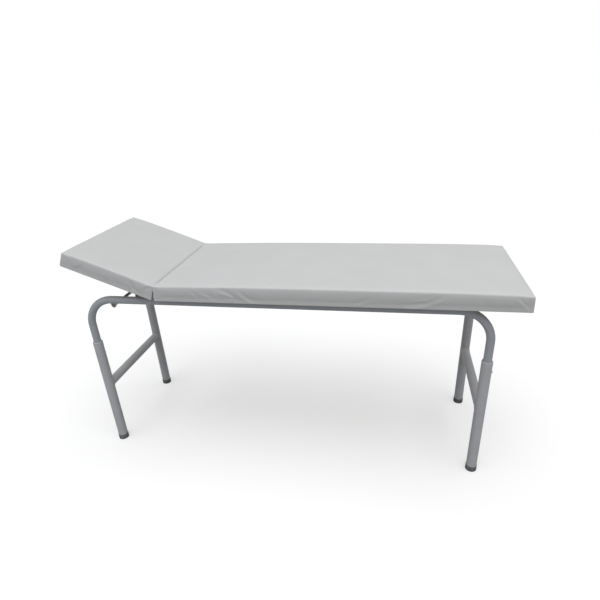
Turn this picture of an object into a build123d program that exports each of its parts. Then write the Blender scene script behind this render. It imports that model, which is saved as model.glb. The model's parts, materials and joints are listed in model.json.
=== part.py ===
from build123d import *
import math
import os

# Examination couch: a bent-tube frame with plug-in legs, a fixed main pad and a head pad
# that tilts up on two butt hinges and is propped by a pair of notched rack bars.
#
# All sizes are in millimetres. X runs from the head end to the foot end, Y from the
# patient's right to the patient's left, Z up from the floor. While the parts are drawn, x is measured
# from the head hinge axis; COUCH_SHIFT then puts the origin under the middle of the couch.

# ------------------------------------------------------------------ driving dimensions
PAD_TOP = 806.0            # lying surface above the floor
PAD_WIDTH = 570.0
MAIN_LENGTH = 1405.0       # head hinge axis to the foot end of the main pad
HEAD_LENGTH = 403.0        # head hinge axis to the head end of the head pad
BOARD_THICKNESS = 15.0
COVER_THICKNESS = 1.0
HEM_WIDTH = 25.0           # vinyl turned in under the board
PAD_EDGE_RADIUS = 8.0
BOARD_CORNER_RADIUS = 6.0
HEM_GAP = 5.5              # rails to the main pad's hem; the cross tubes stand this much proud
STAPLE_SIZE = (12.0, 1.0, 0.7)
STAPLE_PITCH = 92.0
STAPLE_MARGINS = (60.0, 40.0)  # first staple to the hinge axis, last staple to the far end
END_STAPLE_Y = (-200.0, -100.0, 0.0, 100.0, 200.0)

RAIL_TOP = 737.2
TUBE_RADIUS = 15.875       # 1 1/4 inch tube
TUBE_WALL = 1.5
RAIL_HALF_TRACK = 235.4    # couch centre plane to a rail's axis
BEND_RADIUS = 118.0
LEG_LEAN = 1.55            # degrees, tops leaning outwards
HEAD_FOOT_X = -314.0       # where the head legs' axes meet the floor
FOOT_FOOT_X = 1272.6       # where the foot legs' axes meet the floor

SLEEVE_RADIUS = 20.65      # 1 5/8 inch tube
SLEEVE_WALL = 1.9
SLEEVE_TOP = 515.0         # along the leg, from the floor
PLUG_DEPTH = 70.0          # how far the side tube reaches into the sleeve
COLLAR_HEIGHT = 3.0
COLLAR_SPIGOT = 12.0
CROSSBAR_RADIUS = 19.05
CROSSBAR_HEIGHT = 300.0
CROSSBAR_COPE = 60.0       # how much of a leg is drawn each way to cope a crossbar
BEAD_WIDTH = 2.4
BEAD_REACH = 40.0
FOOT_CAP_RADIUS = 22.2
FOOT_CAP_HEIGHT = 22.0
FOOT_CAP_SOLE = 6.0
FOOT_CAP_EDGE = 0.8
LOCK_DEPTH = 43.0          # sleeve top to the lock screw
LOCK_HEAD = (4.6, 3.6)     # radius and height
LOCK_SHANK_RADIUS = 2.4
LOCK_SINK = 0.6            # the head's seat, inside the sleeve's outer surface
LOCK_BITE = 4.0            # past the side tube's outer surface

CROSS_TUBE_X = (60.0, 430.0, 800.0, 1150.0)
CROSS_TUBE_SIZE = (30.0, 20.0)
CROSS_TUBE_WALL = 1.5
CROSS_TUBE_SCREW_Y = 120.0
TAB_X = (245.0, 615.0, 975.0)
TAB_SIZE = (40.0, 34.0, 8.0)
TAB_INWARD = 18.0          # how far a tab reaches in from the rail's inner side
TAB_SCREW_INWARD = 7.5
BOARD_SCREW_BITE = 11.0    # screw length that goes into a board
SCREW_HEAD_RADIUS = 4.2
SCREW_SHANK_RADIUS = 2.0
SCREW_HEAD_HEIGHT = 2.4
SCREW_HEAD_EDGE = 0.9
SCREW_RECESS = (4.4, 0.9)  # length and width of each arm of the cross

HINGE_Z = 738.7
HINGE_Y = 150.0            # couch centre plane to a hinge's middle
HINGE_WIDTH = 70.0
LEAF_REACH = 36.0
LEAF_THICKNESS = 2.0
KNUCKLE_RADIUS = 4.5
KNUCKLE_CLEARANCE = 0.8
KNUCKLE_GAP = 0.4
HINGE_PIN_RADIUS = 2.5
HINGE_PIN_PROUD = 1.5
HINGE_SCREW_Y = (-24.0, 0.0, 24.0)
HINGE_SCREW_INSET = (8.0, 16.0)  # leaf's edge to the outer screws and to the middle one
HINGE_SCREW = (13.0, 3.8, 1.8)   # length, head radius and shank radius
RUNNING_CLEARANCE = 0.05

HEAD_REST_ANGLE = 20.60    # head pad's tilt as stored
HEAD_MAX_ANGLE = 36.0
HEAD_BOARD_LIFT = 0.5      # head board's underside over the main board's, when flat
BOARD_END = 7.2            # hinge axis to the covered end of each board
FOLD_SLOPE = HEAD_MAX_ANGLE / 2 + 0.6

ROD_RADIUS = 6.35          # 1/2 inch rod
ROD_X = -208.0
ROD_Z = 696.2
ROD_PROUD = 4.0            # rod end past the rail's axis
LUG_THICKNESS = 4.0
LUG_TOP_WIDTH = 30.0
LUG_TIP_RADIUS = 10.5
LUG_LAP = 4.0              # up from the rail's lowest line, before it is coped
LUG_FIT = 0.02             # the coped lug to the tube, filled by the weld
LUG_TIP_SPREAD = 30.0      # degrees below level where the tip's sides begin

RACK_HALF_SPACING = 28.0
RACK_THICKNESS = 4.0
RACK_PIVOT_DISTANCE = 220.0    # along the head board, from the hinge axis
RACK_PIVOT_DROP = 22.0         # below the head board's underside
RACK_PIN_RADIUS = 4.0
RACK_LENGTH = 176.0
RACK_BACK = 14.0               # bar's back edge to the line through its pivot
RACK_EYE_RADIUS = 10.0
NOTCH_PITCH = 20.0
NOTCH_COUNT = 6
NOTCH_DEPTH = 6.0
NOTCH_UNDERCUT = 1.0
NOTCH_FLOOR = 8.0
NOTCH_MOUTH = 15.0
STORED_NOTCH = 3           # notches between the stored one and the pivot
ROD_CLEARANCE = 0.9        # rod to the bars' crests, as stored; it shrinks to half that when raised
TIE_RADIUS = 4.0
TIE_FROM_END = 10.0
TIE_PROUD = 3.0
SPACER_WALL = 2.2
PIN_HEAD = (6.5, 2.0)      # radius and height
BRACKET_HALF_GAP = 33.0
BRACKET_THICKNESS = 2.5
BRACKET_HALF_LENGTH = 22.0
BRACKET_EAR_RADIUS = 8.5
BRACKET_EAR_HALF_NECK = 8.0
BRACKET_EAR_DROP = 3.0     # below the pivot, where the straight sides of an ear end
BRACKET_SCREWS = (15.0, 14.0)  # along and across from the pivot
CUT = 1.0                  # how far a cutting solid reaches past what it cuts

SIDES = {"right": -1, "left": 1}
ENDS = {"head": (HEAD_FOOT_X, -1), "foot": (FOOT_FOOT_X, 1)}

# ------------------------------------------------------------------ derived places
RAIL_Z = RAIL_TOP - TUBE_RADIUS
HEM_Z = RAIL_TOP + HEM_GAP                    # underside of the main pad's hem
BOARD_Z = HEM_Z + COVER_THICKNESS             # underside of the main board
HEAD_BOARD_Z = BOARD_Z + HEAD_BOARD_LIFT      # underside of the head board when flat
LEAN = math.tan(math.radians(LEG_LEAN))
HINGE_AXIS = Axis((0, 0, HINGE_Z), (0, 1, 0))


def tilted(x, z, angle):
    """The place of head-pad point (x, z), drawn flat, once the pad is tilted by angle."""
    turn = math.radians(angle)
    height = z - HINGE_Z
    return (x * math.cos(turn) + height * math.sin(turn),
            HINGE_Z - x * math.sin(turn) + height * math.cos(turn))


LOWEST_HEAD_CORNER = tilted(-HEAD_LENGTH, HEAD_BOARD_Z - COVER_THICKNESS, HEAD_REST_ANGLE)
COUCH_SHIFT = -(MAIN_LENGTH + LOWEST_HEAD_CORNER[0]) / 2

PIVOT_FLAT = (-RACK_PIVOT_DISTANCE, HEAD_BOARD_Z - RACK_PIVOT_DROP)
PIVOT_REST = tilted(*PIVOT_FLAT, HEAD_REST_ANGLE)
# A bar that turns at half the head's rate keeps the rod at one distance from its centre
# line when it is square to the bisector of the two directions hinge-rod and hinge-pivot.
ROD_BEARING = math.degrees(math.atan2(ROD_Z - HINGE_Z, ROD_X))
PIVOT_BEARING = math.degrees(math.atan2(PIVOT_FLAT[1] - HINGE_Z, PIVOT_FLAT[0]))
RACK_BEARING = 90 + (ROD_BEARING + PIVOT_BEARING) / 2 - HEAD_REST_ANGLE / 2


# ------------------------------------------------------------------ helpers
def save(name, *solids):
    """Write one node, moved from the hinge-based drawing frame to the couch's frame."""
    moved = [solid.moved(Location((COUCH_SHIFT, 0, 0))) for solid in solids]
    shape = moved[0] if len(moved) == 1 else Compound(children=moved)
    export_step(shape, f"parts/{name}.step")


def tilt(solid):
    """Turn a solid drawn on the flat head pad to the stored tilt."""
    return solid.rotate(HINGE_AXIS, HEAD_REST_ANGLE)


def slab(outline, y_middle, width):
    """A plate or prism with an outline of (x, z) points, centred on y_middle."""
    face = Plane.XZ.offset(-y_middle) * Polygon(*outline, align=None)
    return extrude(face, amount=width / 2, both=True)


def rod_along_y(x, z, radius, y_low, y_high):
    """A round rod parallel to Y."""
    face = Plane.XZ.offset(-y_low) * Pos(x, z) * Circle(radius)
    return extrude(face, amount=-(y_high - y_low))


def box(x_low, x_high, y_low, y_high, z_low, z_high):
    """A box given by its limits."""
    size = (x_high - x_low, y_high - y_low, z_high - z_low)
    middle = ((x_low + x_high) / 2, (y_low + y_high) / 2, (z_low + z_high) / 2)
    return Pos(*middle) * Box(*size)


def screw(x, y, seat_z, length, head_radius=SCREW_HEAD_RADIUS, shank_radius=SCREW_SHANK_RADIUS):
    """A pan-head screw driven upwards: its head hangs under seat_z."""
    height = SCREW_HEAD_HEIGHT
    head = Pos(x, y, seat_z - height / 2) * Cylinder(head_radius, height)
    head = chamfer(head.edges().sort_by(Axis.Z)[0], SCREW_HEAD_EDGE)
    for turn in (0, 90):
        head -= Pos(x, y, seat_z - height) * Rot(0, 0, turn) * Box(*SCREW_RECESS, height)
    shank = Pos(x, y, seat_z + length / 2) * Cylinder(shank_radius, length)
    return head + shank


def leg_plane(end, side, along):
    """Plane square to a leg's axis, at a length along the leg from the floor."""
    foot_x, outward = ENDS[end]
    axis = Vector(outward * LEAN, 0, 1).normalized()
    foot = Vector(foot_x, SIDES[side] * RAIL_HALF_TRACK, 0)
    return Plane(origin=foot + axis * along, z_dir=axis)


def leg_solid(end, side, radius, start, stop):
    """A solid round bar on a leg's axis."""
    return extrude(leg_plane(end, side, start) * Circle(radius), amount=stop - start)


# ------------------------------------------------------------------ frame
def side_sweep(side, section):
    """A section swept along a side tube: leg stub, bend, rail, bend, leg stub."""
    y = SIDES[side] * RAIL_HALF_TRACK
    stub = SLEEVE_TOP - PLUG_DEPTH
    corners = [
        tuple(leg_plane("head", side, stub).origin),
        (HEAD_FOOT_X - LEAN * RAIL_Z, y, RAIL_Z),
        (FOOT_FOOT_X + LEAN * RAIL_Z, y, RAIL_Z),
        tuple(leg_plane("foot", side, stub).origin),
    ]
    path = FilletPolyline(*corners, radius=BEND_RADIUS)
    return sweep(leg_plane("head", side, stub) * section, path=path)


def side_tube(side):
    """One bent tube, hollow from end to end."""
    return side_sweep(side, Circle(TUBE_RADIUS) - Circle(TUBE_RADIUS - TUBE_WALL))


def rail_core(side, clearance=0.0):
    """The space inside a side tube's outer surface, to cope what is welded to it."""
    return side_sweep(side, Circle(TUBE_RADIUS + clearance))


def lock_screw(end, side):
    """A screw across a sleeve's outward face, into the plugged-in tube."""
    outward = ENDS[end][1]
    seat = leg_plane(end, side, SLEEVE_TOP - LOCK_DEPTH)
    seat_radius = SLEEVE_RADIUS - LOCK_SINK
    face = Plane(origin=seat.origin + Vector(outward * seat_radius, 0, 0),
                 z_dir=(outward, 0, 0))
    head_radius, head_height = LOCK_HEAD
    head = extrude(face * Circle(head_radius), amount=head_height)
    head = chamfer(head.edges().sort_by(Axis.X)[-1 if outward > 0 else 0], SCREW_HEAD_EDGE)
    shank = extrude(face * Circle(LOCK_SHANK_RADIUS),
                    amount=TUBE_RADIUS - LOCK_BITE - seat_radius)
    return head + shank


def leg_parts(end, side, lock):
    """Sleeve, collar ring and foot cap of one lower leg."""
    bore = SLEEVE_RADIUS - SLEEVE_WALL
    sleeve = leg_solid(end, side, SLEEVE_RADIUS, FOOT_CAP_SOLE, SLEEVE_TOP)
    sleeve -= leg_solid(end, side, bore, 0, SLEEVE_TOP + CUT)
    sleeve -= lock

    collar = leg_solid(end, side, SLEEVE_RADIUS, SLEEVE_TOP, SLEEVE_TOP + COLLAR_HEIGHT)
    collar = fillet(collar.edges().sort_by(Axis.Z)[-1], COLLAR_HEIGHT * 0.6)
    collar += leg_solid(end, side, bore, SLEEVE_TOP - COLLAR_SPIGOT, SLEEVE_TOP)
    collar -= leg_solid(end, side, TUBE_RADIUS, SLEEVE_TOP - COLLAR_SPIGOT - CUT,
                        SLEEVE_TOP + COLLAR_HEIGHT + CUT)

    cap = leg_solid(end, side, FOOT_CAP_RADIUS, 0, FOOT_CAP_HEIGHT)
    cap = chamfer(cap.edges().sort_by(Axis.Z)[-1], FOOT_CAP_EDGE)
    cap += leg_solid(end, side, FOOT_CAP_RADIUS, -CUT, CUT)
    cap -= leg_solid(end, side, SLEEVE_RADIUS, FOOT_CAP_SOLE, FOOT_CAP_HEIGHT + CUT)
    floor_x = ENDS[end][0]
    cap -= box(floor_x - PAD_WIDTH, floor_x + PAD_WIDTH, -PAD_WIDTH, PAD_WIDTH, -5 * CUT, 0)
    return sleeve, collar, cap


def crossbar(end):
    """The tube between two lower legs, coped to them, and its two weld beads."""
    foot_x, outward = ENDS[end]
    x = foot_x + outward * LEAN * CROSSBAR_HEIGHT
    reach = RAIL_HALF_TRACK
    bar = rod_along_y(x, CROSSBAR_HEIGHT, CROSSBAR_RADIUS, -reach, reach)
    bar -= rod_along_y(x, CROSSBAR_HEIGHT, CROSSBAR_RADIUS - TUBE_WALL, -reach, reach)
    beads = []
    for side, sign in SIDES.items():
        low, high = CROSSBAR_HEIGHT - CROSSBAR_COPE, CROSSBAR_HEIGHT + CROSSBAR_COPE
        near_leg = leg_solid(end, side, SLEEVE_RADIUS, low, high)
        bar -= near_leg
        around_leg = leg_solid(end, side, SLEEVE_RADIUS + BEAD_WIDTH, low, high) - near_leg
        inner_end = sign * (reach - BEAD_REACH)
        low, high = sorted((sign * reach, inner_end))
        around_bar = rod_along_y(x, CROSSBAR_HEIGHT, CROSSBAR_RADIUS + BEAD_WIDTH, low, high)
        around_bar -= rod_along_y(x, CROSSBAR_HEIGHT, CROSSBAR_RADIUS, low, high)
        beads.append((around_leg & around_bar).solids().sort_by(SortBy.VOLUME)[-1])
    return bar, beads


def bed_cross_tube(x, screws):
    """A rectangular cross member between the rails, under the main board."""
    wide, high = CROSS_TUBE_SIZE
    wall = CROSS_TUBE_WALL
    tube = box(x - wide / 2, x + wide / 2, -RAIL_HALF_TRACK, RAIL_HALF_TRACK,
               BOARD_Z - high, BOARD_Z)
    tube -= box(x - wide / 2 + wall, x + wide / 2 - wall, -RAIL_HALF_TRACK, RAIL_HALF_TRACK,
                BOARD_Z - high + wall, BOARD_Z - wall)
    for side in SIDES:
        tube -= rail_core(side)
    for fastener in screws:
        tube -= fastener
    return tube.solids().sort_by(SortBy.VOLUME)[-1]


def board_tab(x, side, screws):
    """A small block welded over a rail's inner side, flush with the board's underside."""
    length, width, thickness = TAB_SIZE
    inner = RAIL_HALF_TRACK - TUBE_RADIUS - TAB_INWARD
    low, high = sorted((SIDES[side] * inner, SIDES[side] * (inner + width)))
    tab = box(x - length / 2, x + length / 2, low, high, BOARD_Z - thickness, BOARD_Z)
    tab -= rail_core(side)
    for fastener in screws:
        tab -= fastener
    return tab.solids().sort_by(SortBy.VOLUME)[-1]


def rod_lug(side, rod):
    """The V-shaped plate under a rail that carries one end of the rod."""
    y = SIDES[side] * RAIL_HALF_TRACK
    top = RAIL_Z - TUBE_RADIUS + LUG_LAP
    left, right = ROD_X - LUG_TOP_WIDTH / 2, ROD_X + LUG_TOP_WIDTH / 2
    spread = math.radians(LUG_TIP_SPREAD)
    tip = [(ROD_X + LUG_TIP_RADIUS * math.cos(a), ROD_Z + LUG_TIP_RADIUS * math.sin(a))
           for a in (-math.pi + spread, -spread)]
    wedge = slab([(left, top), tip[0], tip[1], (right, top)], y, LUG_THICKNESS)
    nose = rod_along_y(ROD_X, ROD_Z, LUG_TIP_RADIUS, y - LUG_THICKNESS / 2, y + LUG_THICKNESS / 2)
    return (wedge + nose) - rail_core(side, LUG_FIT) - rod


# ------------------------------------------------------------------ pads
def pad_outline(x_end, base, inset):
    """A flat pad's side view: square at the far end, sloped above the board at the fold."""
    toward = math.copysign(1, x_end)
    slope = math.tan(math.radians(FOLD_SLOPE))
    board_top = base + COVER_THICKNESS + BOARD_THICKNESS
    top = PAD_TOP - inset
    fold = BOARD_END + inset
    return [(toward * fold, base + inset),
            (toward * fold, board_top),
            (toward * ((top - HINGE_Z) * slope + inset), top),
            (x_end - toward * inset, top),
            (x_end - toward * inset, base + inset)]


def pad(x_end, board_z, screws):
    """Board, foam and open-bottomed vinyl cover of one pad, drawn flat."""
    base = board_z - COVER_THICKNESS
    inner_width = PAD_WIDTH - 2 * COVER_THICKNESS
    toward = math.copysign(1, x_end)

    outer = slab(pad_outline(x_end, base, 0), 0, PAD_WIDTH)
    long_edges = outer.edges().filter_by(Axis.X).group_by(Axis.Z)[-1]
    outer = fillet(long_edges, PAD_EDGE_RADIUS)
    inner = slab(pad_outline(x_end, base, COVER_THICKNESS), 0, inner_width)
    long_edges = inner.edges().filter_by(Axis.X).group_by(Axis.Z)[-1]
    inner = fillet(long_edges, PAD_EDGE_RADIUS - COVER_THICKNESS)

    x_low, x_high = sorted((toward * (BOARD_END + COVER_THICKNESS),
                            x_end - toward * COVER_THICKNESS))
    board = box(x_low, x_high, -inner_width / 2, inner_width / 2,
                board_z, board_z + BOARD_THICKNESS)
    far_corners = board.edges().filter_by(Axis.Z).group_by(Axis.X)[-1 if toward > 0 else 0]
    board = fillet(far_corners, BOARD_CORNER_RADIUS)
    foam = inner - box(x_low - 50, x_high + 50, -PAD_WIDTH, PAD_WIDTH,
                       board_z - 50, board_z + BOARD_THICKNESS)
    window = box(x_low + HEM_WIDTH, x_high - HEM_WIDTH, HEM_WIDTH - PAD_WIDTH / 2,
                 PAD_WIDTH / 2 - HEM_WIDTH, base - CUT, board_z + CUT)
    cover = outer - inner - window
    for fastener in screws:
        board -= fastener
        cover -= fastener
    return board, foam, cover


def staples(x_end, hem_z):
    """Wire staples that hold the hem: along both long sides and the far end."""
    toward = math.copysign(1, x_end)
    length, wire, proud = STAPLE_SIZE
    first, last = STAPLE_MARGINS[0], abs(x_end) - STAPLE_MARGINS[1]
    gaps = int((last - first) // STAPLE_PITCH)
    made = []
    for index in range(gaps + 1):
        x = toward * (first + (last - first) * index / gaps)
        for sign in SIDES.values():
            y = sign * (PAD_WIDTH / 2 - HEM_WIDTH / 2)
            made.append(box(x - length / 2, x + length / 2, y - wire / 2, y + wire / 2,
                            hem_z - proud, hem_z))
    x = x_end - toward * HEM_WIDTH / 2
    for y in END_STAPLE_Y:
        made.append(box(x - wire / 2, x + wire / 2, y - length / 2, y + length / 2,
                        hem_z - proud, hem_z))
    return made


# ------------------------------------------------------------------ head hinges
def hinge_screws(toward, seat_z):
    """Six short screws through the leaves on one board."""
    made = []
    for sign in SIDES.values():
        for offset in HINGE_SCREW_Y:
            x = toward * (LEAF_REACH - HINGE_SCREW_INSET[0 if offset else 1])
            made.append(screw(x, sign * HINGE_Y + offset, seat_z, *HINGE_SCREW))
    return made


def hinge_leaf(side, toward, plate_top, knuckle_spans, bore, screws):
    """One leaf: a plate under a board, rolled into knuckles round the pin."""
    y = SIDES[side] * HINGE_Y
    half = HINGE_WIDTH / 2
    clear = KNUCKLE_RADIUS + KNUCKLE_CLEARANCE
    x_low, x_high = sorted((toward * clear, toward * LEAF_REACH))
    leaf = box(x_low, x_high, y - half, y + half, plate_top - LEAF_THICKNESS, plate_top)
    for low, high in knuckle_spans:
        neck_low, neck_high = sorted((0.0, toward * (clear + CUT)))
        leaf += box(neck_low, neck_high, y + low, y + high,
                    plate_top - LEAF_THICKNESS, plate_top)
        leaf += rod_along_y(0, HINGE_Z, KNUCKLE_RADIUS, y + low, y + high)
    leaf -= rod_along_y(0, HINGE_Z, bore, y - half - CUT, y + half + CUT)
    for fastener in screws:
        leaf -= fastener
    return leaf


# ------------------------------------------------------------------ rack prop
def rack_point(along, across):
    """A place on the rack in its stored position: along the bar from its pivot, and across
    it towards the foot end."""
    turn = math.radians(RACK_BEARING)
    return (PIVOT_REST[0] + along * math.cos(turn) - across * math.sin(turn),
            PIVOT_REST[1] + along * math.sin(turn) + across * math.cos(turn))


def rod_on_rack():
    """Where the stored rack has the rod: (along, across) from its pivot."""
    turn = math.radians(RACK_BEARING)
    dx, dz = ROD_X - PIVOT_REST[0], ROD_Z - PIVOT_REST[1]
    return (dx * math.cos(turn) + dz * math.sin(turn),
            -dx * math.sin(turn) + dz * math.cos(turn))


def rack_crest():
    """A bar's front edge, across from the line through its pivot."""
    return rod_on_rack()[1] - ROD_RADIUS - ROD_CLEARANCE


def rack_bar(sign, holes):
    """A flat bar with an eye at the top and ratchet notches along its front edge."""
    y = sign * RACK_HALF_SPACING
    rod_along = rod_on_rack()[0]
    crest = rack_crest()
    outline = [(0, -RACK_EYE_RADIUS), (2 * RACK_EYE_RADIUS, -RACK_BACK),
               (RACK_LENGTH, -RACK_BACK), (RACK_LENGTH, crest), (0, crest)]
    bar = slab([rack_point(*point) for point in outline], y, RACK_THICKNESS)
    bar += rod_along_y(*PIVOT_REST, RACK_EYE_RADIUS,
                       y - RACK_THICKNESS / 2, y + RACK_THICKNESS / 2)
    first = rod_along - ROD_RADIUS - STORED_NOTCH * NOTCH_PITCH
    for index in range(NOTCH_COUNT):
        seat = first + index * NOTCH_PITCH
        notch = [(seat, crest + CUT), (seat - NOTCH_UNDERCUT, crest - NOTCH_DEPTH),
                 (seat + NOTCH_FLOOR, crest - NOTCH_DEPTH), (seat + NOTCH_MOUTH, crest + CUT)]
        bar -= slab([rack_point(*point) for point in notch], y, RACK_THICKNESS + CUT)
    for hole in holes:
        bar -= hole
    return bar


def rack_bracket(screws, pin):
    """The folded channel under the head board that carries the rack's pivot, drawn flat."""
    x, z = PIVOT_FLAT
    outer = BRACKET_HALF_GAP + BRACKET_THICKNESS
    top, half = HEAD_BOARD_Z, BRACKET_HALF_LENGTH
    neck, drop = BRACKET_EAR_HALF_NECK, BRACKET_EAR_DROP
    bracket = box(x - half, x + half, -outer, outer, top - BRACKET_THICKNESS, top)
    for sign in SIDES.values():
        y = sign * (BRACKET_HALF_GAP + BRACKET_THICKNESS / 2)
        ear = [(x - half, top), (x - neck, z - drop), (x + neck, z - drop), (x + half, top)]
        bracket += slab(ear, y, BRACKET_THICKNESS)
        bracket += rod_along_y(x, z, BRACKET_EAR_RADIUS,
                               y - BRACKET_THICKNESS / 2, y + BRACKET_THICKNESS / 2)
    bracket -= pin
    for fastener in screws:
        bracket -= fastener
    return bracket


# ------------------------------------------------------------------ the couch
def make_frame():
    """Tubes, legs, feet, cross members and the rod."""
    collars, locks = [], []
    for side in SIDES:
        tube = side_tube(side)
        for end in ENDS:
            lock = lock_screw(end, side)
            sleeve, collar, cap = leg_parts(end, side, lock)
            tube -= lock
            save(f"leg_sleeve_{end}_{side}", sleeve)
            save(f"foot_cap_{end}_{side}", cap)
            collars.append(collar)
            locks.append(lock)
        save(f"side_tube_{side}", tube)
    save("leg_collars", *collars)
    save("leg_lock_screws", *locks)

    beads = []
    for end in ENDS:
        bar, end_beads = crossbar(end)
        save(f"crossbar_{end}", bar)
        beads += end_beads
    save("crossbar_welds", *beads)

    rod = rod_along_y(ROD_X, ROD_Z, ROD_RADIUS,
                      -RAIL_HALF_TRACK - ROD_PROUD, RAIL_HALF_TRACK + ROD_PROUD)
    save("head_support_rod", rod)
    for side in SIDES:
        save(f"rod_lug_{side}", rod_lug(side, rod))


def make_main_pad():
    """The fixed pad with its supports and fasteners."""
    tube_seat = BOARD_Z - CROSS_TUBE_SIZE[1]
    tube_screws = [screw(x, sign * CROSS_TUBE_SCREW_Y, tube_seat,
                         CROSS_TUBE_SIZE[1] + BOARD_SCREW_BITE)
                   for x in CROSS_TUBE_X for sign in SIDES.values()]
    tab_seat = BOARD_Z - TAB_SIZE[2]
    tab_y = RAIL_HALF_TRACK - TUBE_RADIUS - TAB_SCREW_INWARD
    tab_screws = [screw(x, sign * tab_y, tab_seat, TAB_SIZE[2] + BOARD_SCREW_BITE)
                  for x in TAB_X for sign in SIDES.values()]
    leaf_screws = hinge_screws(1, HEM_Z - LEAF_THICKNESS)

    for number, x in enumerate(CROSS_TUBE_X, start=1):
        save(f"bed_cross_tube_{number}", bed_cross_tube(x, tube_screws))
    save("board_tabs", *[board_tab(x, side, tab_screws) for x in TAB_X for side in SIDES])
    board, foam, cover = pad(MAIN_LENGTH, BOARD_Z, tube_screws + tab_screws + leaf_screws)
    save("main_board", board)
    save("main_foam", foam)
    save("main_cover", cover)
    save("main_cover_staples", *staples(MAIN_LENGTH, HEM_Z))
    save("main_board_screws", *tube_screws, *tab_screws)
    save("hinge_screws_main", *leaf_screws)
    return leaf_screws


def make_head_pad():
    """The tilting pad with its fasteners and the rack's bracket."""
    leaf_screws = hinge_screws(-1, HEAD_BOARD_Z - COVER_THICKNESS - LEAF_THICKNESS)
    x, z = PIVOT_FLAT
    along, across = BRACKET_SCREWS
    bracket_screws = [screw(x + dx, dy, HEAD_BOARD_Z - BRACKET_THICKNESS,
                            BRACKET_THICKNESS + BOARD_SCREW_BITE)
                      for dx in (-along, along) for dy in (-across, across)]
    pin_reach = BRACKET_HALF_GAP + BRACKET_THICKNESS
    pin = rod_along_y(x, z, RACK_PIN_RADIUS, -pin_reach, pin_reach)
    board, foam, cover = pad(-HEAD_LENGTH, HEAD_BOARD_Z, leaf_screws + bracket_screws)
    save("head_board", tilt(board))
    save("head_foam", tilt(foam))
    save("head_cover", tilt(cover))
    hem_z = HEAD_BOARD_Z - COVER_THICKNESS
    save("head_cover_staples", *[tilt(item) for item in staples(-HEAD_LENGTH, hem_z)])
    save("hinge_screws_head", *[tilt(item) for item in leaf_screws])
    save("rack_bracket", tilt(rack_bracket(bracket_screws, pin)))
    save("rack_bracket_screws", *[tilt(item) for item in bracket_screws])
    head_radius, head_height = PIN_HEAD
    for low, high in ((-pin_reach - head_height, -pin_reach),
                      (pin_reach, pin_reach + head_height)):
        pin += rod_along_y(x, z, head_radius, low, high)
    save("rack_pivot_pin", tilt(pin))
    return leaf_screws


def make_hinges(main_screws, head_screws):
    """Two butt hinges at the fold, with the pins fixed in the main leaves."""
    half = HINGE_WIDTH / 2
    outer_spans = [(-half, -half / 3), (half / 3, half)]
    middle_span = [(KNUCKLE_GAP - half / 3, half / 3 - KNUCKLE_GAP)]
    for side, sign in SIDES.items():
        y = sign * HINGE_Y
        main_leaf = hinge_leaf(side, 1, HEM_Z, outer_spans, HINGE_PIN_RADIUS, main_screws)
        head_leaf = hinge_leaf(side, -1, HEAD_BOARD_Z - COVER_THICKNESS, middle_span,
                               HINGE_PIN_RADIUS + RUNNING_CLEARANCE, head_screws)
        pin = rod_along_y(0, HINGE_Z, HINGE_PIN_RADIUS,
                          y - half - HINGE_PIN_PROUD, y + half + HINGE_PIN_PROUD)
        save(f"hinge_leaf_main_{side}", main_leaf)
        save(f"hinge_leaf_head_{side}", tilt(head_leaf))
        save(f"hinge_pin_{side}", pin)


def make_rack():
    """The notched prop: two bars, the rod that ties them, and the pivot spacer."""
    inner = RACK_HALF_SPACING - RACK_THICKNESS / 2
    outer = RACK_HALF_SPACING + RACK_THICKNESS / 2
    tie_x, tie_z = rack_point(RACK_LENGTH - TIE_FROM_END, (rack_crest() - RACK_BACK) / 2)
    tie = rod_along_y(tie_x, tie_z, TIE_RADIUS, -outer - TIE_PROUD, outer + TIE_PROUD)
    pivot_hole = rod_along_y(*PIVOT_REST, RACK_PIN_RADIUS + RUNNING_CLEARANCE,
                             -outer - CUT, outer + CUT)
    spacer = rod_along_y(*PIVOT_REST, RACK_PIN_RADIUS + SPACER_WALL, -inner, inner) - pivot_hole
    for side, sign in SIDES.items():
        save(f"rack_bar_{side}", rack_bar(sign, [tie, pivot_hole]))
    save("rack_tie_rod", tie)
    save("rack_spacer", spacer)


def main():
    os.makedirs("parts", exist_ok=True)
    make_frame()
    main_screws = make_main_pad()
    head_screws = make_head_pad()
    make_hinges(main_screws, head_screws)
    make_rack()
    print(f"hinge axis x {COUCH_SHIFT:.3f}, z {HINGE_Z}")
    print(f"rack pivot x {PIVOT_REST[0] + COUCH_SHIFT:.3f}, z {PIVOT_REST[1]:.3f}")
    print(f"rod on the rack: along {rod_on_rack()[0]:.2f}, across {rod_on_rack()[1]:.2f}")


main()
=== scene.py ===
import json
import math

import bpy
import bmesh
import numpy as np
from mathutils import Matrix, Vector


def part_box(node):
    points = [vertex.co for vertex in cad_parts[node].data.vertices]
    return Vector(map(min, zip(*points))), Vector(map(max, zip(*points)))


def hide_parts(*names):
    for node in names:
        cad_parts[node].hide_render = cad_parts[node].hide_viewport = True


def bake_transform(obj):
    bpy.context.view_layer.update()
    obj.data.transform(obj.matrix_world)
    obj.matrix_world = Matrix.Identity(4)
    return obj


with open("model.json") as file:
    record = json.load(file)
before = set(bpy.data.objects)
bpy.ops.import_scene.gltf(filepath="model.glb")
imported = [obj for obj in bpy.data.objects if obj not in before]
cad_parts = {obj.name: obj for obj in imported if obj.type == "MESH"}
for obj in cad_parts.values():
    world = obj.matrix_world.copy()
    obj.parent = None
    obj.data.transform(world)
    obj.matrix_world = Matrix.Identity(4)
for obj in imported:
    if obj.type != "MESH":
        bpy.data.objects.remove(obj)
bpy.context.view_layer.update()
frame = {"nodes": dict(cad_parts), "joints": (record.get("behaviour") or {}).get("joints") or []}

# ------------------------------------------------------------------ places taken from the frame
JOINTS = {joint["name"]: joint for joint in frame["joints"]}
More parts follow.
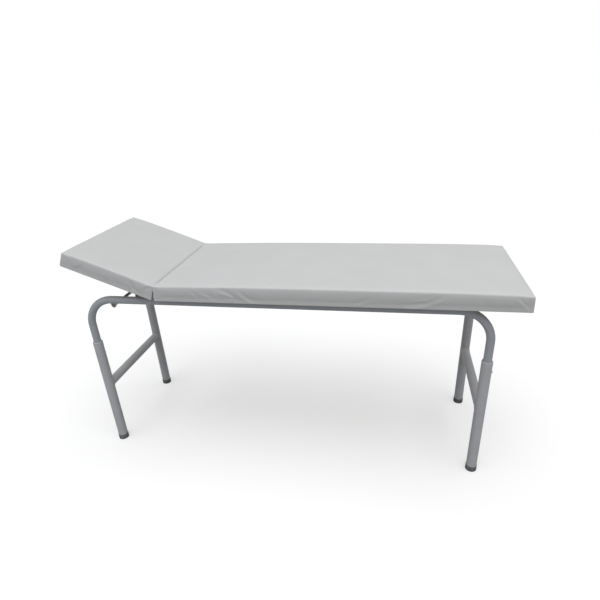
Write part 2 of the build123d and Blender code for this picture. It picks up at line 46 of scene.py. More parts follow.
HINGE = Vector(JOINTS["head_tilt"]["pos_m"])
REST_TILT = math.radians(-JOINTS["head_tilt"]["range_deg"][0])
MAIN_LOW, MAIN_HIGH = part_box("main_cover")
MAIN_BOARD_LOW, MAIN_BOARD_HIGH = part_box("main_board")
HALF_WIDTH = MAIN_HIGH.y
PAD_BASE = MAIN_LOW.z
PAD_TOP = MAIN_HIGH.z
MAIN_REACH = MAIN_HIGH.x - HINGE.x


def head_corner(node):
    """Length along the tilted head pad, from the hinge axis to a node's far end."""
    mesh = frame["nodes"][node].data
    along = Vector((-math.cos(REST_TILT), 0, math.sin(REST_TILT)))
    return max((vertex.co - HINGE).dot(along) for vertex in mesh.vertices)


HEAD_REACH = head_corner("head_cover")
HEAD_BASE_LIFT = 0.0005    # the head pad's underside over the main pad's, when flat

# ------------------------------------------------------------------ camera and light
CAMERA_FROM_HINGE = Vector((0.9324, -1.8519, 0))
CAMERA_HEIGHT = 1.4712
CAMERA_YAW = math.radians(-12.065)
CAMERA_PITCH = math.radians(23.725)
CAMERA_ROLL = math.radians(-3.246)
CAMERA_LENS = 28.397


def make_camera():
    """A view from the couch's right side, near the foot end, looking down and rolled a little."""
    forward = Vector((math.sin(CAMERA_YAW) * math.cos(CAMERA_PITCH),
                      math.cos(CAMERA_YAW) * math.cos(CAMERA_PITCH),
                      -math.sin(CAMERA_PITCH)))
    level_right = Vector((math.cos(CAMERA_YAW), -math.sin(CAMERA_YAW), 0))
    level_up = level_right.cross(forward)
    right = level_right * math.cos(CAMERA_ROLL) + level_up * math.sin(CAMERA_ROLL)
    up = level_up * math.cos(CAMERA_ROLL) - level_right * math.sin(CAMERA_ROLL)
    data = bpy.data.cameras.new("camera")
    data.lens = CAMERA_LENS
    data.sensor_width = 36
    camera = bpy.data.objects.new("camera", data)
    bpy.context.collection.objects.link(camera)
    turn = Matrix((right, up, -forward)).transposed().to_4x4()
    place = Vector((HINGE.x, 0, 0)) + CAMERA_FROM_HINGE + Vector((0, 0, CAMERA_HEIGHT))
    camera.matrix_world = Matrix.Translation(place) @ turn
    bpy.context.scene.camera = camera


SKY_LIGHT = 0.30           # the sky as a light on the couch
SKY_SEEN = 1.0             # the sky as the camera sees it
OVERHEAD_POWER = 2.3
OVERHEAD_SPREAD = math.radians(70)
OVERHEAD_AIM = Vector((-0.08, 0.26, -1))
SOFT_BOXES = (             # name, place, what it points at, size, power, colour
    ("foot_box", Vector((0.7, 0.5, 2.3)), Vector((0.8, 0.0, 0.8)), 1.2, 2.0, (1, 1, 1)),
    ("head_box", Vector((-2.3, -1.3, 1.3)), Vector((-0.8, 0.0, 0.5)), 1.4, 2.5, (0.80, 0.90, 1)),
)


def make_lights():
    """A very soft lamp overhead and a weak soft box by each end."""
    data = bpy.data.lights.new("overhead", "SUN")
    data.energy = OVERHEAD_POWER
    data.angle = OVERHEAD_SPREAD
    hang_lamp(data, Vector((0, 0, 4)), OVERHEAD_AIM)
    for name, place, target, size, power, colour in SOFT_BOXES:
        data = bpy.data.lights.new(name, "AREA")
        data.size = size
        data.energy = power
        data.color = colour
        hang_lamp(data, place, target - place)


def hang_lamp(data, place, aim):
    lamp = bpy.data.objects.new(data.name, data)
    bpy.context.collection.objects.link(lamp)
    lamp.location = place
    lamp.rotation_mode = "QUATERNION"
    lamp.rotation_quaternion = aim.to_track_quat("-Z", "Y")


def make_world():
    """A dim even sky for light, seen as a pale backdrop."""
    world = bpy.data.worlds.new("studio")
    bpy.context.scene.world = world
    world.use_nodes = True
    tree = world.node_tree
    sky = tree.nodes["Background"]
    sky.inputs["Color"].default_value = (0.96, 0.98, 1.0, 1)
    sky.inputs["Strength"].default_value = SKY_LIGHT
    backdrop = tree.nodes.new("ShaderNodeBackground")
    backdrop.inputs["Color"].default_value = (1, 1, 1, 1)
    backdrop.inputs["Strength"].default_value = SKY_SEEN
    ray = tree.nodes.new("ShaderNodeLightPath")
    choose = tree.nodes.new("ShaderNodeMixShader")
    tree.links.new(ray.outputs["Is Camera Ray"], choose.inputs[0])
    tree.links.new(sky.outputs[0], choose.inputs[1])
    tree.links.new(backdrop.outputs[0], choose.inputs[2])
    tree.links.new(choose.outputs[0], tree.nodes["World Output"].inputs["Surface"])


FLOOR_RADIUS = 30.0
FLOOR_CORNERS = 96
FLOOR_DROP = 0.0005        # keeps the floor just clear of the feet


def make_stage():
    """The pale studio floor."""
    mesh = bpy.data.meshes.new("floor")
    turns = [2 * math.pi * index / FLOOR_CORNERS for index in range(FLOOR_CORNERS)]
    rim = [(FLOOR_RADIUS * math.cos(turn), FLOOR_RADIUS * math.sin(turn), -FLOOR_DROP)
           for turn in turns]
    mesh.from_pydata(rim, [], [list(range(FLOOR_CORNERS))])
    floor = bpy.data.objects.new("floor", mesh)
    bpy.context.collection.objects.link(floor)
    mesh.materials.append(floor_material())


# ------------------------------------------------------------------ materials
class Shader:
    """A principled material and the few node patterns that this scene builds from."""

    def __init__(self, name, roughness, metallic=0.0, specular=0.5, coat=0.0, sheen=0.0):
        self.material = bpy.data.materials.new(name)
        self.material.use_nodes = True
        self.tree = self.material.node_tree
        self.surface = self.tree.nodes["Principled BSDF"]
        self.surface.inputs["Roughness"].default_value = roughness
        self.surface.inputs["Metallic"].default_value = metallic
        self.surface.inputs["Specular IOR Level"].default_value = specular
        self.surface.inputs["Coat Weight"].default_value = coat
        self.surface.inputs["Sheen Weight"].default_value = sheen
        self.place = self.tree.nodes.new("ShaderNodeTexCoord").outputs["Object"]

    def node(self, kind, **settings):
        made = self.tree.nodes.new(kind)
        for name, value in settings.items():
            setattr(made, name, value)
        return made

    def join(self, source, target):
        self.tree.links.new(source, target)

    def stretched(self, scale):
        """Object coordinates scaled by (x, y, z)."""
        mapping = self.node("ShaderNodeMapping")
        mapping.inputs["Scale"].default_value = scale
        self.join(self.place, mapping.inputs["Vector"])
        return mapping.outputs["Vector"]

    def noise(self, scale, detail=3.0, rough=0.5, stretch=None):
        made = self.node("ShaderNodeTexNoise")
        made.inputs["Scale"].default_value = scale
        made.inputs["Detail"].default_value = detail
        made.inputs["Roughness"].default_value = rough
        self.join(self.stretched(stretch) if stretch else self.place, made.inputs["Vector"])
        return made.outputs["Fac"]

    def cells(self, scale, feature="F1"):
        made = self.node("ShaderNodeTexVoronoi", feature=feature)
        made.inputs["Scale"].default_value = scale
        self.join(self.place, made.inputs["Vector"])
        return made.outputs["Distance"]

    def ramp(self, source, stops):
        """Colours along a value: stops of (position, (r, g, b))."""
        made = self.node("ShaderNodeValToRGB")
        ramp = made.color_ramp
        while len(ramp.elements) < len(stops):
            ramp.elements.new(0.5)
        for element, (position, colour) in zip(ramp.elements, stops):
            element.position = position
            element.color = (*colour, 1)
        self.join(source, made.inputs["Fac"])
        return made.outputs["Color"]

    def mix(self, fac, first, second, mode="MIX"):
        made = self.node("ShaderNodeMix", data_type="RGBA", blend_type=mode)
        for source, socket in ((fac, made.inputs[0]), (first, made.inputs[6]),
                               (second, made.inputs[7])):
            if isinstance(source, bpy.types.NodeSocket):
                self.join(source, socket)
            else:
                socket.default_value = source if isinstance(source, float) else (*source, 1)
        return made.outputs[2]

    def remap(self, source, low, high, from_low=0.0, from_high=1.0):
        made = self.node("ShaderNodeMapRange")
        made.inputs["From Min"].default_value = from_low
        made.inputs["From Max"].default_value = from_high
        made.inputs["To Min"].default_value = low
        made.inputs["To Max"].default_value = high
        self.join(source, made.inputs["Value"])
        return made.outputs["Result"]

    def colour(self, source):
        self.join(source, self.surface.inputs["Base Color"])

    def roughness(self, source):
        self.join(source, self.surface.inputs["Roughness"])

    def bumps(self, *layers):
        """Stacked bumps: (height source, distance in metres, strength)."""
        normal = None
        for height, distance, strength in layers:
            made = self.node("ShaderNodeBump")
            made.inputs["Distance"].default_value = distance
            made.inputs["Strength"].default_value = strength
            self.join(height, made.inputs["Height"])
            if normal is not None:
                self.join(normal, made.inputs["Normal"])
            normal = made.outputs["Normal"]
        self.join(normal, self.surface.inputs["Normal"])


def shades(base, spread):
    """A darker and a lighter version of a colour, as ramp stops."""
    dark = tuple(value * (1 - spread) for value in base)
    light = tuple(min(1.0, value * (1 + spread)) for value in base)
    return [(0.3, dark), (0.7, light)]


FLOOR_BOUNCE = 0.37        # how much of its light the floor gives back to the couch
FLOOR_SEEN = 0.56          # the floor's own shade, as the camera sees it
FLOOR_GLOW = 0.46          # as with a lit sheet under the couch, which keeps its shadow pale


def floor_material():
    """White paper, lit from below just enough to keep the couch's shadow pale."""
    shader = Shader("floor_paper", roughness=0.9, specular=0.0)
    mottle = shader.ramp(shader.noise(0.6, 4), shades((FLOOR_SEEN,) * 3, 0.006))
    ray = shader.node("ShaderNodeLightPath")
    seen = ray.outputs["Is Camera Ray"]
    shader.colour(shader.mix(seen, (FLOOR_BOUNCE,) * 3, mottle))
    glow = shader.remap(seen, 0.0, FLOOR_GLOW)
    shader.surface.inputs["Emission Color"].default_value = (1, 1, 1, 1)
    shader.join(glow, shader.surface.inputs["Emission Strength"])
    shader.bumps((shader.noise(700, 2), 0.0002, 0.1))
    return shader.material


VINYL_GREY = (0.60, 0.60, 0.60)
UPPER_TUBE_PAINT = (0.40, 0.42, 0.45)
# partly the lower tubes' own paler paint tone, partly painted light for the stronger floor bounce
# near the ground
LOWER_TUBE_PAINT_AND_LIGHT = (0.49, 0.50, 0.52)
COLLAR_PAINT = (0.46, 0.48, 0.50)
ROD_PAINT = (0.20, 0.21, 0.22)
RACK_PAINT = (0.045, 0.050, 0.047)
FOOT_GREY = (0.150, 0.150, 0.155)
FOOT_SCUFF = (0.42, 0.42, 0.42)
# painted shade: the foot cap darkens to this at its base, where it meets the floor
PAINTED_SOLE_SHADE = (0.05, 0.05, 0.05)
ZINC_GREY = (0.56, 0.57, 0.56)
FOAM_YELLOW = (0.80, 0.74, 0.56)


def vinyl_material(name="upholstery_vinyl"):
    """Light grey upholstery vinyl: fine leather grain, soft satin."""
    shader = Shader(name, roughness=0.5, specular=0.35)
    clouds = shader.noise(7, 4, 0.6)
    grain = shader.cells(1500)
    base = shader.ramp(clouds, shades(VINYL_GREY, 0.02))
    pores = shader.ramp(grain, [(0.0, (0.94, 0.94, 0.94)), (0.25, (1, 1, 1))])
    shader.colour(shader.mix(1.0, base, pores, "MULTIPLY"))
    shader.roughness(shader.remap(shader.noise(25, 3), 0.44, 0.56))
    shader.bumps((shader.noise(160, 3), 0.0004, 0.25), (grain, 0.00025, 0.35))
    return shader.material


def paint_material(name, base, roughness=0.32):
    """Powder coat on steel: orange peel, faint clouding and small scuffs."""
    shader = Shader(name, roughness=roughness, specular=0.5, coat=0.25)
    clouds = shader.ramp(shader.noise(9, 5, 0.65), shades(base, 0.06))
    scuff_mask = shader.remap(shader.noise(70, 6, 0.7), 0.0, 0.5, 0.66, 0.80)
    scuffed = tuple(min(1.0, value * 1.25) for value in base)
    shader.colour(shader.mix(scuff_mask, clouds, scuffed))
    shader.roughness(shader.remap(shader.noise(40, 4), roughness - 0.06, roughness + 0.1))
    shader.bumps((shader.noise(420, 2), 0.0003, 0.14), (shader.noise(90, 4), 0.0004, 0.08))
    return shader.material


def zinc_material():
    """Zinc-plated steel with a faint crystalline mottling."""
    shader = Shader("zinc_plating", roughness=0.38, metallic=1.0)
    shader.colour(shader.ramp(shader.cells(260), shades(ZINC_GREY, 0.12)))
    shader.roughness(shader.remap(shader.noise(180, 4), 0.28, 0.5))
    shader.bumps((shader.noise(600, 3), 0.0002, 0.2))
    return shader.material


def foot_material():
    """Moulded grey plastic, scuffed pale, with painted shade darkening it towards the floor."""
    shader = Shader("foot_plastic", roughness=0.55, specular=0.4)
    base = shader.ramp(shader.noise(30, 4), shades(FOOT_GREY, 0.15))
    scuffs = shader.remap(shader.noise(55, 5, 0.7), 0.0, 0.7, 0.56, 0.70)
    worn = shader.mix(scuffs, base, FOOT_SCUFF)
    height = shader.node("ShaderNodeSeparateXYZ")
    shader.join(shader.place, height.inputs["Vector"])
    # painted shade over the lowest few millimetres, darkest at the floor, standing in for the
    # contact shadow
    low = shader.remap(height.outputs["Z"], 0.85, 0.0, 0.001, 0.006)
    shader.colour(shader.mix(low, worn, PAINTED_SOLE_SHADE))
    shader.roughness(shader.remap(shader.noise(90, 3), 0.45, 0.7))
    shader.bumps((shader.noise(500, 3), 0.0003, 0.3))
    return shader.material


def plywood_material():
    """Bare plywood: long grain along the couch, darker pores, thin end-grain layers."""
    shader = Shader("plywood", roughness=0.72, specular=0.25)
    grain = shader.noise(22, 6, 0.62, stretch=(0.35, 9, 30))
    pores = shader.noise(90, 3, 0.5, stretch=(0.5, 14, 40))
    board = shader.ramp(grain, [(0.3, (0.36, 0.23, 0.12)), (0.55, (0.52, 0.36, 0.20)),
                                (0.75, (0.60, 0.44, 0.27))])
    fine = shader.ramp(pores, [(0.35, (0.78, 0.74, 0.70)), (0.55, (1, 1, 1))])
    shader.colour(shader.mix(1.0, board, fine, "MULTIPLY"))
    shader.roughness(shader.remap(grain, 0.62, 0.82))
    shader.bumps((pores, 0.0005, 0.35), (grain, 0.0006, 0.2))
    return shader.material


# ------------------------------------------------------------------ pads
TOP_RADIUS = 0.005         # rounding of the top edges and of the upright corners beside them
BASE_RADIUS = 0.003        # the same along the board, which fills its corners out
FOLD_RADIUS = 0.0015       # and round the fold end, which presses on the other pad
FOAM_ROUND_FROM = 0.018    # the radius grows from this far above the base
FOAM_ROUND_TO = 0.012      # to this far below the top
FOLD_ROUND = (0.006, 0.030)  # and over this length away from the fold
HEM_WIDTH = 0.025
HEM_LINE = 0.0008          # the narrow step between the hem and the board's bare underside
RECESS = 0.0003            # how far that underside's skin hides inside the board
MAIN_PITCH = 0.006         # the grid's spacing along each pad, across both and up their sides
HEAD_PITCH = 0.0038
ACROSS_PITCH = 0.009
SIDE_PITCH = 0.0045
CORNER_STEPS = 4
BOARD_TOP = MAIN_BOARD_HIGH.z
FOAM_INSET = 0.0002        # the foam part starts this much inside its final sides
TOP_INSET = 0.0006         # and this much below its final top
SWELL_CAP = 0.003          # no point moves further than this in the simulation
SIDE_BULGE = 0.0005        # how far the foam stands out half way up a side
SIDE_TUCK = 0.0002         # how far the vinyl draws in where the foam meets the board
CORNER_REACH = 0.08        # the top's far corners are pulled down and in over this length
CORNER_SINK = 0.0020
CORNER_PULL = 0.0005
SWELL_BLEND = 0.012        # heights over which each shaping of the foam sets in
CROWN_BLEND = 0.004
RIPPLE_BLEND = 0.01
BULGE_HEIGHT = 0.014
TUCK_HEIGHT = 0.004
FOLD_FADE = 0.14           # the sheared fold face blends into the straight pad over this length
GAP_HEIGHTS = (0.004, 0.012, 0.020, 0.034, 0.050, 0.070)
GAP_WIDTHS = (0.0070, 0.0054, 0.0040, 0.0026, 0.0005, 0.0003)
PRESS_SIDES = (0.06, 0.01)    # the covers press from this far inside the sides to this far
PRESS_HEIGHTS = (0.040, 0.054)
# How far each cover is pushed towards the other at the top of the fold, by the sides. It is more
# than the gap there, so the two pads overlap slightly where real foam would be squeezed.
PRESS = 0.0016


def smooth_step(value, low, high):
    share = np.clip((value - low) / (high - low), 0, 1)
    return share * share * (3 - 2 * share)


def ruled(low, high, low_radius, high_radius, pitch, extra=()):
    """Grid lines from low to high, close together within each end's radius."""
    ends = [low + low_radius * step / CORNER_STEPS for step in range(CORNER_STEPS)]
    ends += [high - high_radius * step / CORNER_STEPS for step in range(CORNER_STEPS)]
    first, last = low + low_radius, high - high_radius
    count = max(2, round((last - first) / pitch))
    middle = [first + (last - first) * step / count for step in range(count + 1)]
    for line in extra:
        middle = [value for value in middle if abs(value - line) > 0.35 * pitch or value in extra]
        middle.append(line)
    return sorted(ends + middle)


def box_skin(us, ys, zs):
    """Points and quads of a box's skin on the given grid lines."""
    index, points, faces = {}, [], []

    def corner(i, j, k):
        if (i, j, k) not in index:
            index[i, j, k] = len(points)
            points.append((us[i], ys[j], zs[k]))
        return index[i, j, k]

    last_i, last_j, last_k = len(us) - 1, len(ys) - 1, len(zs) - 1
    for i in range(last_i):
        for j in range(last_j):
            for k in (0, last_k):
                faces.append([corner(i, j, k), corner(i + 1, j, k),
                              corner(i + 1, j + 1, k), corner(i, j + 1, k)])
    for i in range(last_i):
        for k in range(last_k):
            for j in (0, last_j):
                faces.append([corner(i, j, k), corner(i + 1, j, k),
                              corner(i + 1, j, k + 1), corner(i, j, k + 1)])
    for j in range(last_j):
        for k in range(last_k):
            for i in (0, last_i):
                faces.append([corner(i, j, k), corner(i, j + 1, k),
                              corner(i, j + 1, k + 1), corner(i, j, k + 1)])
    return np.array(points), faces


def round_edges(points, reach, base):
    """Rounds a box's skin: softly round the foam, tightly along the board and the fold."""
    u, _, z = points.T
    foam = smooth_step(z, base + FOAM_ROUND_FROM, PAD_TOP - FOAM_ROUND_TO)
    radius = BASE_RADIUS + (TOP_RADIUS - BASE_RADIUS) * foam
    by_fold = 1 - smooth_step(u, *FOLD_ROUND)
    radius = (radius + (FOLD_RADIUS - radius) * by_fold)[:, None]
    low = np.array([0, -HALF_WIDTH, base]) + radius
    high = np.array([reach, HALF_WIDTH, PAD_TOP]) - radius
    inner = np.clip(points, low, high)
    toward = points - inner
    length = np.linalg.norm(toward, axis=1)[:, None]
    return np.where(length > 1e-6, inner + toward / np.maximum(length, 1e-9) * radius, points)


def pad_shape(reach, base, board_base, pitch):
    """A pad drawn flat, before its foam swells: u from the fold to the far end, then y and z."""
    hem = HALF_WIDTH - HEM_WIDTH
    far_hem = reach - HEM_WIDTH
    us = ruled(0.0, reach, TOP_RADIUS, TOP_RADIUS, pitch,
               extra=(HEM_WIDTH, HEM_WIDTH + HEM_LINE, far_hem - HEM_LINE, far_hem))
    ys = ruled(-HALF_WIDTH, HALF_WIDTH, TOP_RADIUS, TOP_RADIUS, ACROSS_PITCH,
               extra=(-hem, -hem + HEM_LINE, hem - HEM_LINE, hem))
    zs = ruled(base, PAD_TOP, BASE_RADIUS, TOP_RADIUS, SIDE_PITCH)
    points, faces = box_skin(us, ys, zs)
    slack = HEM_LINE / 2
    under = points[:, 2] < base + 1e-6
    window = (under & (points[:, 0] > HEM_WIDTH + slack) & (points[:, 0] < far_hem - slack)
              & (abs(points[:, 1]) < hem - slack))
    points = round_edges(points, reach, base)
    points[window, 2] = board_base + RECESS
    return points, faces


def inset_foam(points, reach, base):
    """Draws the foam part in, so that the simulation can swell it back out."""
    shaped = points.copy()
    board_top = BOARD_TOP + base - PAD_BASE
    above = smooth_step(points[:, 2], board_top, board_top + SWELL_BLEND)
    shaped[:, 1] *= 1 - above * FOAM_INSET / HALF_WIDTH
    middle = reach / 2
    far = points[:, 0] > middle
    shaped[:, 0] -= np.where(far, above * FOAM_INSET * (points[:, 0] - middle) / middle, 0)
    shaped[:, 2] -= TOP_INSET * smooth_step(points[:, 2], board_top, PAD_TOP)
    return shaped


def crown(points, reach, board_top, side_rise, middle_rise):
    """Lifts the top into a low dome and pulls its far corners down and in."""
    half = reach / 2
    along = 1 - abs((points[:, 0] - half) / half) ** 3
    across = 1 - (points[:, 1] / HALF_WIDTH) ** 2
    foam = smooth_step(points[:, 2], board_top, PAD_TOP - CROWN_BLEND)
    corner = foam * (smooth_step(points[:, 0], reach - CORNER_REACH, reach)
                     * smooth_step(abs(points[:, 1]), HALF_WIDTH - CORNER_REACH, HALF_WIDTH))
    lifted = points.copy()
    lifted[:, 2] += foam * along * (side_rise + (middle_rise - side_rise) * across)
    lifted[:, 2] -= CORNER_SINK * corner
    lifted[:, 0] -= CORNER_PULL * corner
    return lifted


def fill_sides(points, normals, board_top):
    """Rounds the sides out over the foam and tucks them in just above the board."""
    height = points[:, 2]
    middle = (board_top + PAD_TOP) / 2
    bulge = SIDE_BULGE * np.exp(-((height - middle) / BULGE_HEIGHT) ** 2)
    tuck = SIDE_TUCK * np.exp(-((height - board_top - TUCK_HEIGHT) / TUCK_HEIGHT) ** 2)
    filled = points.copy()
    sideways = normals[:, :2] * (points[:, :1] > FOLD_FADE / 4)
    filled[:, :2] += sideways * (bulge - tuck)[:, None]
    return filled


def make_mesh(name, points, faces):
    mesh = bpy.data.meshes.new(name)
    mesh.from_pydata(points.tolist(), [], faces)
    edit = bmesh.new()
    edit.from_mesh(mesh)
    bmesh.ops.recalc_face_normals(edit, faces=edit.faces)
    edit.to_mesh(mesh)
    edit.free()
    piece = bpy.data.objects.new(name, mesh)
    bpy.context.collection.objects.link(piece)
    return piece


def mesh_points(mesh):
    flat = np.zeros(len(mesh.vertices) * 3, np.float32)
    mesh.vertices.foreach_get("co", flat)
    return flat.reshape(-1, 3).astype(float)


def set_points(mesh, points):
    mesh.vertices.foreach_set("co", points.astype(np.float32).ravel())
    mesh.update()


MAIN_RISES = (0.0062, 0.0092)  # the crown's height along the sides and in the middle
HEAD_RISES = (0.0028, 0.0032)
SWELL_FRAMES = 5
SWELL_PRESSURE = 4.0
HELD_ABOVE = 0.001         # the cover is held up to this far above the board
CLOTH = {"quality": 5, "mass": 0.4, "tension_stiffness": 40, "compression_stiffness": 40,
         "shear_stiffness": 20, "bending_stiffness": 2}
RIPPLE = 0.0004            # the top's slight unevenness, and its spacing along and across
RIPPLE_PITCHES = (0.19, 0.15)


def swell(piece, pinned):
    """Cloth under pressure over the foam, with the wrapped board edge and the hem held."""
    group = piece.vertex_groups.new(name="held")
    group.add([int(index) for index in np.nonzero(pinned)[0]], 1.0, "REPLACE")
    cloth = piece.modifiers.new("vinyl", "CLOTH")
    settings = cloth.settings
    for name, value in CLOTH.items():
        setattr(settings, name, value)
    settings.use_pressure = True
    settings.uniform_pressure_force = SWELL_PRESSURE
    settings.effector_weights.gravity = 0
    settings.vertex_group_mass = "held"
    cloth.point_cache.frame_start = 1
    cloth.point_cache.frame_end = SWELL_FRAMES
    scene = bpy.context.scene
    for step in range(1, SWELL_FRAMES + 1):
        scene.frame_set(step)
    graph = bpy.context.evaluated_depsgraph_get()
    moved = mesh_points(piece.evaluated_get(graph).data)
    piece.modifiers.remove(cloth)
    piece.vertex_groups.remove(group)
    scene.frame_set(1)
    return moved


def capped(before, after, cap):
    """Moves from before towards after, easing off so that no point moves more than cap."""
    step = after - before
    length = np.maximum(np.linalg.norm(step, axis=1), 1e-9)
    return before + step * (cap * np.tanh(length / cap) / length)[:, None]


# Drag lines in the vinyl of the right side: three places along each line, as (length from the
# fold, height over the base), then depth and half width.
NEAR_DRAGS = (
    ((0.155, 0.056), (0.185, 0.036), (0.200, 0.016), 0.0010, 0.006),
    ((0.205, 0.054), (0.240, 0.032), (0.280, 0.012), 0.0013, 0.007),
    ((0.270, 0.060), (0.320, 0.044), (0.355, 0.014), 0.0024, 0.007),
    ((0.295, 0.036), (0.330, 0.020), (0.360, 0.012), 0.0010, 0.006),
    ((0.365, 0.062), (0.390, 0.028), (0.445, 0.008), 0.0023, 0.007),
    ((0.535, 0.038), (0.555, 0.024), (0.575, 0.012), 0.0008, 0.008),
    ((0.690, 0.044), (0.670, 0.030), (0.655, 0.014), 0.0005, 0.009),
    ((0.795, 0.012), (0.825, 0.026), (0.875, 0.040), 0.0013, 0.006),
    ((0.950, 0.016), (1.045, 0.026), (1.125, 0.064), 0.0021, 0.008),
    ((0.990, 0.040), (1.045, 0.046), (1.095, 0.060), 0.0009, 0.007),
    ((1.215, 0.052), (1.240, 0.036), (1.270, 0.018), 0.0005, 0.009),
    ((1.345, 0.060), (1.375, 0.034), (1.400, 0.008), 0.0020, 0.006),
    ((1.365, 0.062), (1.385, 0.042), (1.400, 0.022), 0.0012, 0.005),
)
HEAD_DRAGS = (
    ((0.120, 0.060), (0.090, 0.032), (0.075, 0.008), 0.0030, 0.006),
    ((0.095, 0.062), (0.080, 0.038), (0.065, 0.010), 0.0023, 0.005),
    ((0.040, 0.034), (0.025, 0.046), (0.010, 0.060), 0.0013, 0.005),
    ((0.190, 0.056), (0.170, 0.038), (0.160, 0.020), 0.0005, 0.008),
    ((0.340, 0.008), (0.320, 0.024), (0.300, 0.044), 0.0010, 0.007),
    ((0.400, 0.056), (0.380, 0.040), (0.360, 0.028), 0.0011, 0.006),
)
DRAG_STEPS = 24
RIDGE_HEIGHT = 0.6         # each line raises a ridge beside it, as a share of its depth
RIDGE_PLACE = 1.7          # and this many half widths away
FOAM_GIVE = 0.01           # how far the vinyl may sink in over the foam
GIVE_BLEND = 0.016
SIDE_FADE = 0.25           # creases fade out where the side turns away by this much
BOARD_GIVE = 0.0005        # how far the vinyl may sink in where the board backs it


def random_drags(seed, length, spacing):
    """Faint drag lines for a side that nothing is known about."""
    draw = np.random.default_rng(seed)
    drags = []
    place = draw.uniform(0.3, 0.8) * spacing
    while place < length - 0.03:
        end = min(max(place + draw.uniform(-0.07, 0.07), 0.012), length - 0.012)
        middle = (place + end) / 2 + draw.uniform(-0.008, 0.008)
        high, low = draw.uniform(0.048, 0.062), draw.uniform(0.008, 0.020)
        drags.append(((place, high), (middle, (high + low) / 2 + draw.uniform(-0.006, 0.006)),
                      (end, low), draw.uniform(0.0007, 0.0020), draw.uniform(0.006, 0.009)))
        place += draw.uniform(0.5, 1.6) * spacing
    return drags


def drag_depth(along, height, drags):
    """How far the vinyl sinks at each point of a side, for a list of drag lines."""
    depth = np.zeros_like(along)
    steps = np.linspace(0, 1, DRAG_STEPS)[:, None]
    for start, middle, end, strength, width in drags:
        start, middle, end = (np.array(place) for place in (start, middle, end))
        line = (start * (1 - steps) * (1 - 2 * steps) + middle * 4 * steps * (1 - steps)
                + end * steps * (2 * steps - 1))
        apart = np.stack([along, height], axis=1)[:, None] - line
        nearest = np.linalg.norm(apart, axis=2).argmin(axis=1)
        run = np.gradient(line, axis=0)
        run = (run / np.linalg.norm(run, axis=1)[:, None])[nearest]
        apart = apart[np.arange(len(along)), nearest]
        across = apart[:, 0] * run[:, 1] - apart[:, 1] * run[:, 0]
        beyond = apart[:, 0] * run[:, 0] + apart[:, 1] * run[:, 1]
        travel = steps[nearest, 0]
        taper = smooth_step(travel, -0.02, 0.35) * (1 - smooth_step(travel, 0.65, 1.02))
        taper = taper * np.exp(-(beyond / width) ** 2)
        valley = np.exp(-(across / width) ** 2)
        ridge = RIDGE_HEIGHT * np.exp(-((across - RIDGE_PLACE * width) / width) ** 2)
        depth += strength * taper * (valley - ridge)
    return depth


def backed_by_board(depth, height):
    """Limits how far the vinyl sinks in over the board, leaving the foam free."""
    board = BOARD_TOP - PAD_BASE
    give = BOARD_GIVE + FOAM_GIVE * smooth_step(height, board, board + GIVE_BLEND)
    return np.where(depth > 0, give * np.tanh(depth / give), depth)


def side_share(normals, axis, sign):
    """How fully each point belongs to the side that faces along an axis."""
    return np.clip(normals[:, axis] * sign * (1 + SIDE_FADE) - SIDE_FADE, 0, 1)


def mesh_normals(mesh):
    flat = np.zeros(len(mesh.vertices) * 3, np.float32)
    mesh.vertex_normals.foreach_get("vector", flat)
    return flat.reshape(-1, 3).astype(float)


def crease_sides(points, normals, base, drags_by_side):
    """Presses each side's drag lines into the pad."""
    height = points[:, 2] - base
    creased = points.copy()
    for (axis, sign), drags in drags_by_side.items():
        along = points[:, 0] if axis == 1 else points[:, 1] + HALF_WIDTH
        share = side_share(normals, axis, sign)
        depth = backed_by_board(drag_depth(along, height, drags), height)
        creased[:, axis] -= sign * share * depth
    return creased


def wave(values, seed, pitch):
    """A smooth, seeded one-dimensional wander between -1 and 1."""
    draw = np.random.default_rng(seed)
    knots = np.arange(values.min() - 2 * pitch, values.max() + 3 * pitch, pitch)
    heights = draw.uniform(-1, 1, len(knots))
    place = (values - knots[0]) / pitch
    low = np.floor(place).astype(int)
    share = place - low
    share = share * share * (3 - 2 * share)
    return heights[low] * (1 - share) + heights[low + 1] * share


def lean_to_fold(points):
    """Shears the fold end onto the plane half way between the two pads."""
    shaped = points.copy()
    height = np.maximum(points[:, 2] - HINGE.z, 0)
    near = 1 - smooth_step(points[:, 0], 0.0, FOLD_FADE)
    inner, outer = PRESS_SIDES
    by_side = smooth_step(abs(points[:, 1]), HALF_WIDTH - inner, HALF_WIDTH - outer)
    gap = np.interp(height, GAP_HEIGHTS, GAP_WIDTHS)
    gap = gap - PRESS * by_side * smooth_step(height, *PRESS_HEIGHTS)
    shaped[:, 0] += near * (height * math.tan(REST_TILT / 2) + gap)
    return shaped


def make_pad(name, reach, base, board_base, pitch, rises, drags_by_side, seed):
    """One upholstered pad, drawn flat with its fold end at the hinge axis."""
    points, faces = pad_shape(reach, base, board_base, pitch)
    start = inset_foam(points, reach, base)
    piece = make_mesh(name, start, faces)
    board_top = BOARD_TOP + base - PAD_BASE
    pinned = points[:, 2] < board_top + HELD_ABOVE
    shaped = capped(start, swell(piece, pinned), SWELL_CAP)
    shaped[:, 0] = np.maximum(shaped[:, 0], 0)
    shaped = crown(shaped, reach, board_top, *rises)
    set_points(piece.data, shaped)
    normals = mesh_normals(piece.data)
    shaped = fill_sides(shaped, normals, board_top)
    shaped = crease_sides(shaped, normals, base, drags_by_side)
    soft = smooth_step(shaped[:, 2], board_top, PAD_TOP - RIPPLE_BLEND)
    upward = np.clip(normals[:, 2], 0, 1)
    along_pitch, across_pitch = RIPPLE_PITCHES
    ripple = wave(shaped[:, 0], seed, along_pitch) + wave(shaped[:, 1], seed + 1, across_pitch)
    shaped[:, 2] += RIPPLE * upward * soft * ripple
    shaped = lean_to_fold(shaped)
    set_points(piece.data, shaped)
    return piece


def place_flat(piece):
    points = mesh_points(piece.data)
    points[:, 0] += HINGE.x
    set_points(piece.data, points)


